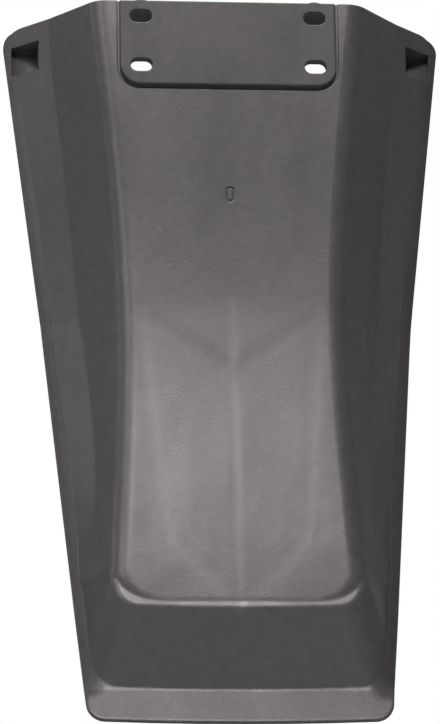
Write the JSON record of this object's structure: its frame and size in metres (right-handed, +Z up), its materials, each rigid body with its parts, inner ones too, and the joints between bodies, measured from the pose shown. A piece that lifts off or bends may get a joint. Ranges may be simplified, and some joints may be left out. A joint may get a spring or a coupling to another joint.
{
  "type": "rear mudguard extender",
  "caption": "Moulded black plastic hood that bolts under the tail of a rear mudguard by a slotted pad and carries the guard further down, with sloping sides, a rim and a flared bottom lip.",
  "frame": {"origin": "centre of the four fixing slots, on the front face of the mounting pad", "axes": "X to the right, -Y out of the visible face along the fixing bolts, +Z up along the length"},
  "size_m": [0.219, 0.0488, 0.3636],
  "materials": {
    "black_plastic": "moulded polypropylene, fine satin grain"
  },
  "bodies": {
    "root": {"mudguard_extender": "black_plastic"}
  },
  "joints": []
}
